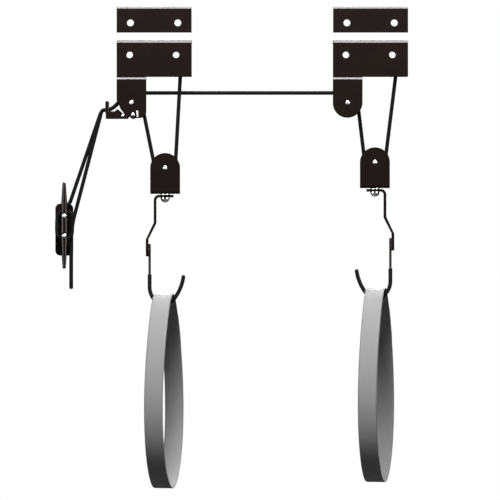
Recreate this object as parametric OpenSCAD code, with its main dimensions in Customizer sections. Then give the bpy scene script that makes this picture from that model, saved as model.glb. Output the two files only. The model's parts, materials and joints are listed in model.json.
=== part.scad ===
// Ceiling hoist for a kayak, as it hangs with both webbing loops at the same height.
// X runs along the ceiling, the front faces -Y and the ceiling is the plane Z = 0.
// The origin is the middle of the left bracket, under the ceiling.

/* [Ceiling brackets] */
// Distance between the middles of the two brackets
bracket_gap = 361; // [320:1:500]
// Width of a bracket along the ceiling
bracket_w = 125; // [118:1:150]
// Height of a bracket from the ceiling to the lower edge of its plates
plate_h = 61.3; // [58:0.1:75]
// Thickness of the folded steel sheet
sheet_t = 3; // [2:0.1:3.4]
// Outer radius of every fold at the ceiling
fold_r = 5.5; // [4.5:0.1:8]
// Depth of a bracket's ceiling flange
flange_depth = 45; // [42:1:60]
// Width of the leg that carries the upper sheaves
leg_w = 49; // [45:0.5:56]
// Distance from the ceiling down to the upper axle
axle_drop = 105; // [98:1:125]
// Radius of the cross holes in the plates
bolt_r = 5.6; // [4:0.1:6]
// Distance from the ceiling down to the cross holes
bolt_drop = 25; // [22:0.5:30]
// Distance between a bracket's two cross holes
bolt_spacing = 77.5; // [70:0.5:80]
// Radius of the ceiling screw holes
screw_hole_r = 3.2; // [2.5:0.1:4]
// Distance between the ceiling screw holes
screw_spacing = 79; // [72:0.5:86]

/* [Ceiling strips] */
// Height of a ceiling strip
strip_h = 44.9; // [40:0.1:55]
// Radius of the two holes in a strip
strip_hole_r = 5.7; // [4:0.1:7]
// Gap between a strip and the bracket below it
strip_gap = 11.9; // [4:0.1:20]

/* [Rope and sheaves] */
// Diameter of the rope
rope_d = 6.35; // [5:0.05:6.4]
// Width of a sheave
sheave_w = 11; // [10:0.1:12]
// Radius of a sheave's flanges
flange_r = 20.5; // [19.5:0.1:20.7]
// Radius at which the rope's centre runs on a sheave
pitch_r = 16.8; // [16.2:0.1:17]
// Radius of every axle
axle_r = 3; // [2.5:0.1:3.4]
// Thickness of the washers beside the sheaves
washer_t = 0.8; // [0.5:0.1:1]

/* [Lower blocks] */
// Half the width of a block's yoke
yoke_r = 24.8; // [23:0.1:27]
// Distance from a block's axle down to the underside of its yoke
yoke_drop = 43.3; // [38:0.1:50]
// Thickness of the yoke's sheet
yoke_t = 2.5; // [2:0.1:3]
// Radius of the swivel rivet's shank
swivel_r = 4; // [3:0.1:4.2]

/* [Hooks] */
// Thickness of the flat bar and diameter of the rod
bar_t = 4.2; // [3.5:0.1:5]
// Width of the flat bar
bar_w = 22; // [18:0.5:26]
// Radius of the hook's bottom at the middle of the rod
hook_r = 22; // [21:0.1:28]
// Outer diameter of the rubber sleeve
sleeve_d = 6.6; // [6:0.1:8]

/* [Webbing loops] */
// Width of the webbing
web_w = 32; // [25:1:36]
// Thickness of the webbing
web_t = 1.6; // [1.2:0.1:2.5]
// Height of a loop
loop_h = 325; // [250:1:400]
// Largest half width of a loop
loop_half = 66; // [50:1:80]

/* [Lock arm] */
// Distance from the arm's pivot to the outer face of its end tab
lock_len = 45.4; // [44:0.1:50]
// Thickness of the arm's sheet
lock_t = 2.5; // [2:0.1:3]
// Height of the end tab
tab_h = 28.8; // [26:0.1:34]

/* [Cleat] */
// Length of the cleat from horn tip to horn tip
cleat_len = 145; // [130:1:160]
// Length of the cleat's base
base_len = 87; // [80:1:100]
// Width of the cleat's base
base_w = 30; // [26:0.5:34]
// Thickness of the cleat's base
base_t = 5; // [3:0.1:8]
// Distance between the cleat's screws
cleat_screw_gap = 32.9; // [28:0.1:34]

/* [Hidden] */

// Smoothness of the round parts
round_fn = 64;
// Overrun of every cut
over = 1;
// Radial clearance of a pin in its hole
fit = 0.05;
// Gap left where a soft piece meets a piece that moves
soft_gap = 0.3;
// Axial clearance on each side of a washer
side_gap = 0.1;
// Height of a thin head or lip as a share of its radius
dome_share = 0.55;

// Rope planes, and the gaps between the plates that follow from them
rope_r = rope_d / 2;
lane = sheave_w / 2 + washer_t / 2 + side_gap;
joggle = sheet_t;
leg_half = lane + sheave_w / 2 + washer_t + 2 * side_gap;
plate_half = leg_half - joggle;
front_y = -plate_half - sheet_t;
back_y = front_y + flange_depth;
leg_out = leg_half + sheet_t;

// Places on a bracket, measured from its middle
leg_x = -bracket_w / 2 + leg_w / 2;
axle_z = -axle_drop;
joggle_top = plate_h + 1.7 * sheet_t / 3;
foot_r = leg_w / 2;
left_foot_z = axle_z - foot_r - sheet_t / 6;
foot_corner_r = 11;
arc_cut_r = flange_r + rope_r / 10;
bolt_shift = -2.25;
bolt_left_x = bolt_shift - bolt_spacing / 2;
bolt_right_x = bolt_shift + bolt_spacing / 2;
screw_y = back_y - flange_depth * 0.233;
post_r = bolt_r + 1.7;
head_r = axle_r + 0.8;

// Ceiling strip
strip_back = 20;
strip_hole_z = strip_gap + strip_h * 0.361;

// Sheave form
groove_r = rope_r + soft_gap;
rim_half = groove_r + 0.8;
recess_in = axle_r + 4;
recess_out = pitch_r - groove_r - 1.3;
recess_t = sheave_w * 0.23;

// Lock arm, pivoted on the left leg
lock_shift = 2.8;
lock_x = leg_x + lock_shift;
lock_drop = 20.1;
lock_z = axle_z - lock_drop;
lug_r = 6.5;
lock_gap = soft_gap;
cheek_in = leg_out + lock_gap;
cheek_out = cheek_in + lock_t;
tab_t = 4.2;
tab_x = lock_x - lock_len;
lock_low = lock_z - lock_len * 0.141;
liner_t = 1.2;
lip_t = 0.8;
guide_drop = 11.7;
guide_z = axle_z - guide_drop;
slot_z = guide_z - rope_r - soft_gap - liner_t;
slot_half = lane + rope_r + soft_gap + liner_t;
pivot_r = 2;
jam_r = 2.5;
stop_w = 3.4;
stop_h = 11;
cheek_shares = [
  [-1, -0.141], [-0.205, -0.141], [-0.143, -0.051], [0, -0.06], [0.09, 0.09], [-0.018, 0.131],
  [-0.37, 0.046], [-0.562, 0.209], [-0.67, 0.121], [-0.908, 0.121], [-1, 0.121]
];
web_end_share = 0.205;
jam_share = [-0.368, -0.033];

// Lower blocks: the middle of each axle, and the rope plane it hangs in
block_x = [18.3, bracket_gap + 7.6];
block_z = [-213.8, -204];
block_y = [-lane, lane];
cheek_gap = sheave_w / 2 + 0.5;
yoke_fold = 4;
washer_r = swivel_r + 3.5;
swivel_washer_t = 1.6;
tab_top = yoke_drop + swivel_washer_t;
inner_head_t = 2.5;
inner_head_r = cheek_gap - 1.2;
rivet_head_h = 8.5;
rivet_head_r = swivel_r + 3.6;

// Hook, measured from the block's axle with the J to the left
bend_r = bar_t * 2.14;
tab_reach = 14;
bar_u = -16.8;
rod_u = -hook_r - 3.9;
foot_u = rod_u - bar_t;
step_top = 91.9;
step_low = 119.1;
bar_low = 147.6;
rod_top = 126.8;
sleeve_top = 177.7;
throat_drop = 204.4;
side_more = 9.5;
tip_more = 56;
side_r = hook_r + side_more;
tip_r = hook_r + tip_more;
blend_angle = asin(0.6);
tip_angle = 8.1;
throat_u = rod_u + side_r - side_more * cos(blend_angle);
side_w = -throat_drop + side_more * sin(blend_angle);
tip_u = throat_u - tip_more * cos(blend_angle);
tip_w = -throat_drop + tip_more * sin(blend_angle);
sleeve_r = sleeve_d / 2;
rod_r = bar_t / 2;

// Webbing loop
loop_turn = 14;
loop_rise = 2.3;
neck_share = 0.43;
belly_share = 1.12;
loop_steps = 64;
edge_u = web_w / 2 / cos(loop_turn);
loop_seat = side_w + loop_rise
  - sqrt(pow(side_r - sleeve_r, 2) - pow(edge_u + rod_u + side_r - throat_u, 2));

// Cleat on the wall
cleat_x = -149.7;
cleat_z = -309.8;
base_y = leg_half - 1.5;
base_low = 6.8;
base_side = 1;
neck_w = 12.4;
neck_h = 40;
horn_r = neck_w / 2 + soft_gap;
horn_tip_r = 2.9;
horn_y = -16;
horn_tilt = 5;
cleat_screw_r = 2.5;
cleat_head_r = 4.7;
cleat_seat_y = horn_y - 2;
screw_out = 20;
thread_r = cleat_screw_r - 0.6;
cross_w = 1.2;

// Colours
black = [0.12, 0.1, 0.09];
rubber = [0.06, 0.06, 0.06];
nylon = [0.16, 0.16, 0.17];
zinc = [0.85, 0.86, 0.88];
webbing = [0.45, 0.45, 0.46];
cord = [0.09, 0.09, 0.09];

// A round bar or hole along Y
module along_y(x, z, r, y_from, y_to) {
  translate([x, y_from, z]) rotate([-90, 0, 0])
    cylinder(r = r, h = y_to - y_from, $fn = round_fn);
}

// A plate drawn in X and Z
module plate_xz(y_from, y_to) {
  translate([0, y_to, 0]) rotate([90, 0, 0]) linear_extrude(y_to - y_from) children();
}

// A section drawn in Y and Z
module section_yz(x_from, x_to) {
  translate([x_from, 0, 0]) rotate([90, 0, 90]) linear_extrude(x_to - x_from) children();
}

// A rivet head: a cap of a ball with a flat back, bulging towards +Z
module dome(r, h) {
  ball = (r * r + h * h) / (2 * h);
  rotate_extrude($fn = round_fn) intersection() {
    translate([0, h - ball]) circle(r = ball, $fn = 2 * round_fn);
    square([r, h]);
  }
}

// A rod along Y with a domed head on each end
module riveted_axle(x, z, r, out, head) {
  along_y(x, z, r, -out, out);
  for (side = [-1, 1])
    translate([x, side * out, z]) rotate([-90 * side, 0, 0]) dome(head, head * dome_share);
}

// Part of a ring in X and Z, angles from +X towards +Z, with a bore for a tube
module arc_xz(x, y, z, ring, tube, a_from, a_to, bore = 0) {
  translate([x, y, z]) rotate([90, 0, 0]) rotate([0, 0, a_from])
    rotate_extrude(angle = a_to - a_from, $fn = 2 * round_fn)
      translate([ring, 0]) difference() {
        circle(r = tube, $fn = round_fn);
        if (bore > 0) circle(r = bore, $fn = round_fn);
      }
}

// A straight round bar between two points
module bar_between(from, to, r) {
  d = to - from;
  len = norm(d);
  translate(from) rotate([0, acos(d[2] / len), atan2(d[1], d[0])])
    cylinder(r = r, h = len, $fn = round_fn);
}

// Sweep of a round cord along a list of points, with a radius for each ring
rope_sides = 8;
function unit(v) = v / norm(v);
function heading(p, i) = unit(p[min(i + 1, len(p) - 1)] - p[max(i - 1, 0)]);
function carried(n, t) = unit(n - (n * t) * t);
function frames(p, i, n) =
  i >= len(p) ? [] :
  let (m = carried(n, heading(p, i))) concat([m], frames(p, i + 1, m));
function ring_points(p, r, first) =
  let (n = frames(p, 0, first))
  [for (i = [0 : len(p) - 1], k = [0 : rope_sides - 1])
    let (t = heading(p, i), b = cross(t, n[i]), a = 360 * (k + 0.5) / rope_sides)
    p[i] + r[i] * (cos(a) * n[i] + sin(a) * b)];
module sweep(p, r, first) {
  rings = len(p);
  n = rope_sides;
  polyhedron(
    points = ring_points(p, r, first),
    faces = concat(
      [[for (k = [0 : n - 1]) k]],
      [for (i = [0 : rings - 2], k = [0 : n - 1])
        [i * n + k, (i + 1) * n + k, (i + 1) * n + (k + 1) % n]],
      [for (i = [0 : rings - 2], k = [0 : n - 1])
        [i * n + k, (i + 1) * n + (k + 1) % n, i * n + (k + 1) % n]],
      [[for (k = [0 : n - 1]) (rings - 1) * n + n - 1 - k]]
    )
  );
}
module rope(p) {
  sweep(p, [for (q = p) rope_r], [0, 1, 0]);
}

// Section of a bracket plate: ceiling flange, fold, web and the step above the leg
module plate_section(web_y, top_z, step) {
  fold_y = web_y + fold_r;
  fold_z = top_z - fold_r;
  translate([fold_y, top_z - sheet_t]) square([back_y - fold_y, sheet_t]);
  translate([fold_y, fold_z]) intersection() {
    difference() {
      circle(r = fold_r, $fn = round_fn);
      circle(r = fold_r - sheet_t, $fn = round_fn);
    }
    translate([-fold_r, 0]) square(fold_r);
  }
  translate([web_y, -joggle_top]) square([sheet_t, joggle_top + fold_z]);
  polygon([
    [web_y + step, -joggle_top - joggle], [web_y + sheet_t + step, -joggle_top - joggle],
    [web_y + sheet_t, -joggle_top], [web_y, -joggle_top]
  ]);
  translate([web_y + step, axle_z - 2 * foot_r])
    square([sheet_t, 2 * foot_r - axle_z - joggle_top - joggle]);
}

// Outline of a bracket plate, with the plain round foot or the one that carries the lock
module plate_outline(has_lock) {
  translate([-bracket_w / 2, -plate_h]) square([bracket_w, plate_h]);
  if (has_lock) {
    translate([leg_x - foot_r, axle_z + sheet_t]) square([leg_w, axle_drop - sheet_t]);
    translate([leg_x, axle_z]) circle(r = arc_cut_r, $fn = 2 * round_fn);
    translate([leg_x, left_foot_z + foot_corner_r])
      square([foot_r, axle_drop - foot_corner_r + left_foot_z + axle_drop]);
    translate([leg_x, left_foot_z]) square([foot_r - foot_corner_r, foot_corner_r]);
    translate([leg_x + foot_r - foot_corner_r, left_foot_z + foot_corner_r])
      circle(r = foot_corner_r, $fn = round_fn);
    translate([lock_x, lock_z]) circle(r = lug_r, $fn = round_fn);
  } else {
    translate([leg_x - foot_r, axle_z]) square([leg_w, axle_drop]);
    translate([leg_x, axle_z]) circle(r = foot_r, $fn = 2 * round_fn);
  }
}

module bracket_plate(x, web_y, top_z, step, has_lock) {
  color(black) translate([x, 0, 0]) difference() {
    intersection() {
      section_yz(-bracket_w / 2, bracket_w / 2) plate_section(web_y, top_z, step);
      plate_xz(front_y - 2 * joggle, back_y + over) plate_outline(has_lock);
    }
    for (hole_x = [bolt_left_x, bolt_right_x])
      along_y(hole_x, -bolt_drop, bolt_r, web_y - over, web_y + sheet_t + over);
    for (side = [-1, 1])
      translate([side * screw_spacing / 2, screw_y, top_z - sheet_t - over])
        cylinder(r = screw_hole_r, h = sheet_t + 2 * over, $fn = round_fn);
    along_y(leg_x, axle_z, axle_r + fit, web_y + step - over, web_y + step + sheet_t + over);
    if (has_lock) {
      along_y(lock_x, lock_z, pivot_r + fit, web_y + step - over, web_y + step + sheet_t + over);
      plate_xz(web_y + step - over, web_y + step + sheet_t + over) stop_outline(fit);
    }
  }
}

module front_plate(x, has_lock) {
  bracket_plate(x, front_y, 0, -joggle, has_lock);
}

module rear_plate(x, has_lock) {
  bracket_plate(x, plate_half, -sheet_t, joggle, has_lock);
}

module ceiling_strip(x) {
  color(black) translate([x, 0, strip_gap]) difference() {
    section_yz(-bracket_w / 2, bracket_w / 2) {
      translate([front_y, 0]) square([sheet_t, strip_h - fold_r]);
      translate([front_y + fold_r, strip_h - fold_r]) intersection() {
        difference() {
          circle(r = fold_r, $fn = round_fn);
          circle(r = fold_r - sheet_t, $fn = round_fn);
        }
        translate([-fold_r, 0]) square(fold_r);
      }
      translate([front_y + fold_r, strip_h - sheet_t]) square([strip_back - fold_r, sheet_t]);
    }
    for (side = [-1, 1])
      along_y(side * screw_spacing / 2, strip_hole_z - strip_gap, strip_hole_r,
        front_y - over, front_y + sheet_t + over);
  }
}

// Tube between the plates, round a cross hole
module post(x, hole_x) {
  color(zinc) difference() {
    along_y(x + hole_x, -bolt_drop, post_r, -plate_half, plate_half);
    along_y(x + hole_x, -bolt_drop, bolt_r, -plate_half - over, plate_half + over);
  }
}

module upper_axle(x) {
  color(zinc) riveted_axle(x + leg_x, axle_z, axle_r, leg_out, head_r);
}

module axle_ring(x, z, outer, y_from, y_to) {
  difference() {
    along_y(x, z, outer, y_from, y_to);
    along_y(x, z, axle_r + fit, y_from - over, y_to + over);
  }
}

module left_washers() {
  middle = lane + sheave_w / 2 + side_gap + washer_t / 2;
  color(zinc) for (y = [-middle, 0, middle])
    axle_ring(leg_x, axle_z, recess_in + 1, y - washer_t / 2, y + washer_t / 2);
}

module right_washer() {
  from = lane + sheave_w / 2 + side_gap;
  color(zinc) axle_ring(bracket_gap + leg_x, axle_z, recess_in + 1, from, from + washer_t);
}

module right_spacer() {
  color(zinc) axle_ring(bracket_gap + leg_x, axle_z, axle_r + 2,
    -leg_half + side_gap, lane - sheave_w / 2 - side_gap);
}

// Grooved sheave, turned about its bore
module sheave(x, y, z) {
  half = sheave_w / 2;
  color(nylon) translate([x, y, z]) rotate([90, 0, 0]) rotate_extrude($fn = 2 * round_fn)
    difference() {
      translate([axle_r + fit, -half]) square([flange_r - axle_r - fit, sheave_w]);
      translate([pitch_r, 0]) circle(r = groove_r, $fn = round_fn);
      polygon([
        [pitch_r, -groove_r], [flange_r + over, -rim_half],
        [flange_r + over, rim_half], [pitch_r, groove_r]
      ]);
      translate([recess_in, half - recess_t]) square([recess_out - recess_in, recess_t + over]);
      translate([recess_in, -half - over]) square([recess_out - recess_in, recess_t + over]);
    }
}

// Slot through the foot for the stop, a pill shape
module stop_outline(extra) {
  stop_x = lock_x + 6.9;
  stop_z = lock_z + 1.6;
  round_at = stop_h / 2 - stop_w / 2;
  translate([stop_x - stop_w / 2 - extra, stop_z - round_at])
    square([stop_w + 2 * extra, 2 * round_at]);
  for (side = [-1, 1])
    translate([stop_x, stop_z + side * round_at])
      circle(r = stop_w / 2 + extra, $fn = round_fn);
}

module stop_tabs() {
  color(zinc) for (side = [-1, 1])
    plate_xz(side > 0 ? leg_half : -leg_out - soft_gap, side > 0 ? leg_out + soft_gap : -leg_half)
      stop_outline(0);
}

// Side of the lock arm
module cheek_outline() {
  translate([lock_x, lock_z]) {
    polygon(cheek_shares * lock_len);
    circle(r = lug_r - soft_gap, $fn = round_fn);
  }
}

// Guide slot in Y and Z, open at the top
module slot_outline(extra) {
  translate([-slot_half - extra, slot_z - extra])
    square([2 * (slot_half + extra), lock_low + tab_h - slot_z + extra]);
}

module lock_arm() {
  color(black) difference() {
    union() {
      for (y = [-cheek_out, cheek_in]) plate_xz(y, y + lock_t) cheek_outline();
      translate([tab_x, -cheek_out, lock_low])
        cube([lock_len * (1 - web_end_share), 2 * cheek_out, lock_t]);
      translate([tab_x, -cheek_out, lock_low]) cube([tab_t, 2 * cheek_out, tab_h]);
    }
    translate([0, 0, over]) section_yz(tab_x - over, tab_x + tab_t + over) slot_outline(0);
    section_yz(tab_x - over, tab_x + tab_t + over) slot_outline(0);
    along_y(lock_x, lock_z, pivot_r + fit, -cheek_out - over, cheek_out + over);
    along_y(lock_x + lock_len * jam_share[0], lock_z + lock_len * jam_share[1], jam_r + fit,
      -cheek_out - over, cheek_out + over);
  }
}

module guide_liner() {
  top = lock_low + tab_h;
  color(nylon) intersection() {
    union() {
      section_yz(tab_x - lip_t, tab_x + tab_t + lip_t) difference() {
        slot_outline(0);
        slot_outline(-liner_t);
      }
      for (x = [tab_x - lip_t, tab_x + tab_t]) section_yz(x, x + lip_t) difference() {
        slot_outline(liner_t);
        slot_outline(-liner_t);
      }
    }
    translate([tab_x - over, -cheek_out, lock_low])
      cube([tab_t + 2 * over, 2 * cheek_out, top - lock_low - soft_gap]);
  }
}

module jam_pin() {
  color(zinc) riveted_axle(lock_x + lock_len * jam_share[0], lock_z + lock_len * jam_share[1],
    jam_r, cheek_out, jam_r + fit);
}

module lock_pivots() {
  color(zinc) for (side = [-1, 1]) {
    along_y(lock_x, lock_z, pivot_r, side > 0 ? leg_half : -cheek_out - side_gap,
      side > 0 ? cheek_out + side_gap : -leg_half);
    translate([lock_x, side * (cheek_out + side_gap), lock_z]) rotate([-90 * side, 0, 0])
      dome(pivot_r + 0.7, pivot_r * dome_share);
  }
}

// Yoke of a lower block, folded from one strip
module yoke(i) {
  out = cheek_gap + yoke_t;
  color(black) translate([block_x[i], block_y[i], block_z[i]]) difference() {
    intersection() {
      section_yz(-yoke_r, yoke_r) difference() {
        yoke_section(out, yoke_fold, -yoke_drop, yoke_r);
        yoke_section(cheek_gap, yoke_fold - yoke_t, -yoke_drop + yoke_t, yoke_r + over);
      }
      plate_xz(-out - over, out + over) {
        circle(r = yoke_r, $fn = 2 * round_fn);
        translate([-yoke_r, -yoke_drop]) square([2 * yoke_r, yoke_drop]);
      }
    }
    along_y(0, 0, axle_r + fit, -out - over, out + over);
    translate([0, 0, -yoke_drop - over])
      cylinder(r = swivel_r + fit, h = yoke_t + 2 * over, $fn = round_fn);
  }
}

// A box section with two rounded lower corners
module yoke_section(half, corner, low, high) {
  translate([-half, low + corner]) square([2 * half, high - low - corner]);
  translate([-half + corner, low]) square([2 * (half - corner), corner]);
  for (side = [-1, 1])
    translate([side * (half - corner), low + corner]) circle(r = corner, $fn = round_fn);
}

module lower_axle(i) {
  color(zinc) translate([0, block_y[i], 0])
    riveted_axle(block_x[i], block_z[i], axle_r, cheek_gap + yoke_t, head_r);
}

module swivel_rivet(i) {
  tab_low = tab_top + bar_t;
  color(zinc) translate([block_x[i], block_y[i], block_z[i]]) {
    translate([0, 0, -tab_low])
      cylinder(r = swivel_r, h = tab_low - yoke_drop + yoke_t + side_gap, $fn = round_fn);
    translate([0, 0, -yoke_drop + yoke_t + side_gap])
      cylinder(r = inner_head_r, h = inner_head_t, $fn = round_fn);
    translate([0, 0, -tab_low]) rotate([180, 0, 0]) swivel_head();
  }
}

// High round head under the hook's tab
module swivel_head() {
  straight = rivet_head_h - rivet_head_r * 0.8;
  cylinder(r = rivet_head_r, h = straight, $fn = round_fn);
  translate([0, 0, straight]) dome(rivet_head_r, rivet_head_h - straight);
}

module swivel_washer(i) {
  color(zinc) translate([block_x[i], block_y[i], block_z[i] - tab_top]) difference() {
    cylinder(r = washer_r, h = swivel_washer_t - side_gap, $fn = round_fn);
    translate([0, 0, -over])
      cylinder(r = swivel_r + fit, h = swivel_washer_t + 2 * over, $fn = round_fn);
  }
}

// Places a hook's piece under its block; the right hook faces the other way
module at_block(i) {
  translate([block_x[i], block_y[i], block_z[i]]) rotate([0, 0, 180 * i]) children();
}

// Side view of the flat bar
module bar_outline() {
  half = bar_t / 2;
  bend_u = bar_u - half + bend_r;
  bend_w = -tab_top - bend_r;
  miter = half * tan(atan((bar_u - foot_u) / (step_low - step_top)) / 2);
  translate([bend_u, -tab_top - bar_t]) square([tab_reach - bend_u, bar_t]);
  translate([bend_u, bend_w]) intersection() {
    difference() {
      circle(r = bend_r, $fn = round_fn);
      circle(r = bend_r - bar_t, $fn = round_fn);
    }
    translate([-bend_r, 0]) square(bend_r);
  }
  polygon([
    [bar_u - half, bend_w], [bar_u - half, -step_top + miter],
    [foot_u - half, -step_low - miter], [foot_u - half, -bar_low],
    [foot_u + half, -bar_low], [foot_u + half, -step_low + miter],
    [bar_u + half, -step_top - miter], [bar_u + half, bend_w]
  ]);
}

module hook_bar(i) {
  color(black) at_block(i) difference() {
    plate_xz(-bar_w / 2, bar_w / 2) bar_outline();
    translate([0, 0, -tab_top - bar_t - over])
      cylinder(r = swivel_r + fit, h = bar_t + 2 * over, $fn = round_fn);
  }
}

// The J as a round bar or tube: shank, side, bottom and the long curve up to the tip
module hook_j(r, from, bore = 0) {
  translate([rod_u, 0, side_w]) difference() {
    cylinder(r = r, h = -from - side_w, $fn = round_fn);
    if (bore > 0) translate([0, 0, -over])
      cylinder(r = bore, h = -from - side_w + 2 * over, $fn = round_fn);
  }
  arc_xz(rod_u + side_r, 0, side_w, side_r, r, 180, 180 + blend_angle, bore);
  arc_xz(throat_u, 0, -throat_drop, hook_r, r, 180 + blend_angle, 360 - blend_angle, bore);
  arc_xz(tip_u, 0, tip_w, tip_r, r, -blend_angle, -tip_angle, bore);
}

module hook_rod(i) {
  color(black) at_block(i) hook_j(rod_r, rod_top);
}

module hook_sleeve(i) {
  color(rubber) at_block(i) {
    hook_j(sleeve_r, sleeve_top, rod_r);
    translate([tip_u + tip_r * cos(tip_angle), 0, tip_w - tip_r * sin(tip_angle)])
      rotate([0, tip_angle, 0]) dome(sleeve_r, sleeve_r);
  }
}

// Half width and drop of the loop's middle line at angle a from its top
function loop_width(a) =
  loop_half * belly_share * sin(a) * (1 - neck_share * pow((1 + cos(a)) / 2, 2));
function loop_point(a) = [loop_width(a), -(loop_h - web_t) / 2 * (1 - cos(a))];
function loop_normal(a) =
  let (d = unit(loop_point(a + 1) - loop_point(a - 1))) [-d[1], d[0]];
function loop_edge(offset) = [for (k = [0 : loop_steps - 1])
  let (a = 360 * k / loop_steps) loop_point(a) + offset * loop_normal(a)];

module webbing_loop(i) {
  centre_u = i == 0 ? throat_u : -throat_u;
  color(webbing)
    translate([block_x[i] + centre_u, block_y[i], block_z[i] + loop_seat + web_t / 2])
      rotate([0, 0, -loop_turn]) section_yz(-web_w / 2, web_w / 2) difference() {
        polygon(loop_edge(web_t / 2));
        polygon(loop_edge(-web_t / 2));
      }
}

// One horn of the cleat, from inside the barrel to its round tip
module cleat_horn(reach, root_r) {
  rotate_extrude($fn = round_fn) {
    polygon([[0, 0], [root_r, 0], [horn_tip_r, reach], [0, reach]]);
    translate([0, reach]) intersection() {
      circle(r = horn_tip_r, $fn = round_fn);
      square(horn_tip_r);
    }
  }
}

module cleat() {
  horn_start = neck_h / 2 - horn_r / 6;
  horn_reach = cleat_len / 2 - horn_tip_r - horn_start;
  corner = base_w * 0.28;
  neck_round = (neck_h - neck_w) / 2;
  color(black) translate([cleat_x, 0, cleat_z]) difference() {
    union() {
      plate_xz(base_y, base_y + base_t) translate([-base_side, -base_low]) {
        square([base_w - 2 * corner, base_len], center = true);
        square([base_w, base_len - 2 * corner], center = true);
        for (sx = [-1, 1], sz = [-1, 1])
          translate([sx * (base_w / 2 - corner), sz * (base_len / 2 - corner)])
            circle(r = corner, $fn = round_fn);
      }
      plate_xz(horn_y, base_y + base_t / 2) {
        square([neck_w, 2 * neck_round], center = true);
        for (side = [-1, 1]) translate([0, side * neck_round])
          circle(r = neck_w / 2, $fn = round_fn);
      }
      translate([0, horn_y, -neck_h / 2])
        cylinder(r = horn_r, h = neck_h, $fn = round_fn);
      for (side = [0, 1]) mirror([0, 0, side]) translate([0, horn_y, horn_start])
        rotate([horn_tilt, 0, 0]) cleat_horn(horn_reach, horn_r * 0.97);
    }
    for (side = [-1, 1]) {
      along_y(0, side * cleat_screw_gap / 2, cleat_screw_r + fit, horn_y - 2 * horn_r,
        base_y + base_t + over);
      along_y(0, side * cleat_screw_gap / 2, cleat_head_r + 2 * fit, horn_y - 2 * horn_r,
        cleat_seat_y);
    }
  }
}

module cleat_screws() {
  head_h = cleat_head_r * dome_share;
  color(zinc) translate([cleat_x, 0, cleat_z]) for (side = [-1, 1])
    translate([0, 0, side * cleat_screw_gap / 2]) difference() {
      union() {
        along_y(0, 0, cleat_screw_r, cleat_seat_y - head_h / 2, base_y + base_t);
        along_y(0, 0, thread_r, base_y + base_t - over, base_y + base_t + screw_out);
        translate([0, cleat_seat_y, 0]) rotate([90, 0, 0]) dome(cleat_head_r, head_h);
      }
      for (turn = [0, 90])
        translate([0, cleat_seat_y - head_h, 0]) rotate([0, turn, 0])
          cube([cleat_head_r, head_h, cross_w], center = true);
    }
}

// Knot round the anchor post, in X, Y and Z from the post's axis
knot_r = 2.7;
post_ring = post_r + soft_gap + rope_r;
knot_drop = 35;
knot_exit = [7, 5.7];
coil_top = 17.2;
coil_pitch = 5.9;
coil_ring = rope_r + knot_r + 0.43;
coil_turns = 2.75;
coil_steps = 12;
function standing(i, z) =
  [post_ring + (knot_exit[i] - post_ring) * -z / knot_drop, 0, z];
function coil_point(i, s) =
  let (a = 180 + 360 * s, c = standing(i, -coil_top - coil_pitch * s))
  c + [coil_ring * cos(a), coil_ring * sin(a), 0];
function knot_points(i) = concat(
  [for (share = [1, 0.66, 0.32]) standing(i, -knot_drop * share)],
  [for (a = [0 : 15 : 180]) [post_ring * cos(a), 0, post_ring * sin(a)]],
  [[-10.6, 0, -4.5], [-8.6, 0, -9], [-4.8, 0, -13]],
  [for (k = [0 : coil_turns * coil_steps]) coil_point(i, k / coil_steps)],
  [for (k = [1, 2]) coil_point(i, coil_turns) + k * [-5, 0, -0.4]]
);
standing_rings = 16;
function knot_radii(i) =
  [for (k = [0 : len(knot_points(i)) - 1]) k < standing_rings ? rope_r : knot_r];
// Least distance between the turns of the knot and between them and the standing part
coil_gap = min(coil_pitch - 2 * knot_r, coil_ring - rope_r - knot_r);
echo(least_gap_in_knot = coil_gap);

module rope_knot(i) {
  x = (i == 0 ? 0 : bracket_gap) + bolt_right_x;
  color(cord) translate([x, 0, -bolt_drop]) sweep(knot_points(i), knot_radii(i), [0, 1, 0]);
}

// Where each rope leaves its knot, and the sheaves it runs on
upper_x = [leg_x, bracket_gap + leg_x];
function knot_end(i) =
  [(i == 0 ? 0 : bracket_gap) + bolt_right_x + knot_exit[i], 0, -bolt_drop - knot_drop];
function span_x(i) = upper_x[i] - block_x[i];
function span_z(i) = axle_z - block_z[i];
function rise_angle(i) =
  atan2(span_z(i), span_x(i)) + acos(2 * pitch_r / norm([span_x(i), span_z(i)]));
function fall_angle(i) =
  let (dx = knot_end(i)[0] - block_x[i], dz = knot_end(i)[2] - block_z[i])
  atan2(dz, dx) - acos(pitch_r / norm([dx, dz]));
function on_block(i, a) =
  [block_x[i] + pitch_r * cos(a), block_y[i], block_z[i] + pitch_r * sin(a)];
function on_upper(i, a) =
  [upper_x[i] + pitch_r * cos(a), block_y[i], axle_z + pitch_r * sin(a)];
leave_angle = 140;

// Straight run with a small gap at the end that meets a moving piece
module rope_run(from, to) {
  along = unit(to - from);
  color(cord) bar_between(from, to - soft_gap * along, rope_r);
}

module rope_fall(i) {
  rope_run(knot_end(i) + soft_gap * unit(on_block(i, fall_angle(i)) - knot_end(i)),
    on_block(i, fall_angle(i)));
}

module rope_wrap(i) {
  color(cord) arc_xz(block_x[i], block_y[i], block_z[i], pitch_r, rope_r,
    rise_angle(i), 360 + fall_angle(i));
}

module rope_rise(i) {
  rope_run(on_upper(i, rise_angle(i) - 180), on_block(i, rise_angle(i)));
}

module right_cross() {
  color(cord) {
    arc_xz(upper_x[1], lane, axle_z, pitch_r, rope_r, 90, rise_angle(1) - 180);
    bar_between([upper_x[0], lane, axle_z + pitch_r], [upper_x[1], lane, axle_z + pitch_r],
      rope_r);
  }
}

// Route of the ropes from the upper sheaves to the guide slot, from the sheaves' axle: X and Z
lead_route = [
  [-17, 5.9], [-22, 0.2], [-27, -4.9], [-32, -8.8], [-37, -11], [-42, -11.7]
];

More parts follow.
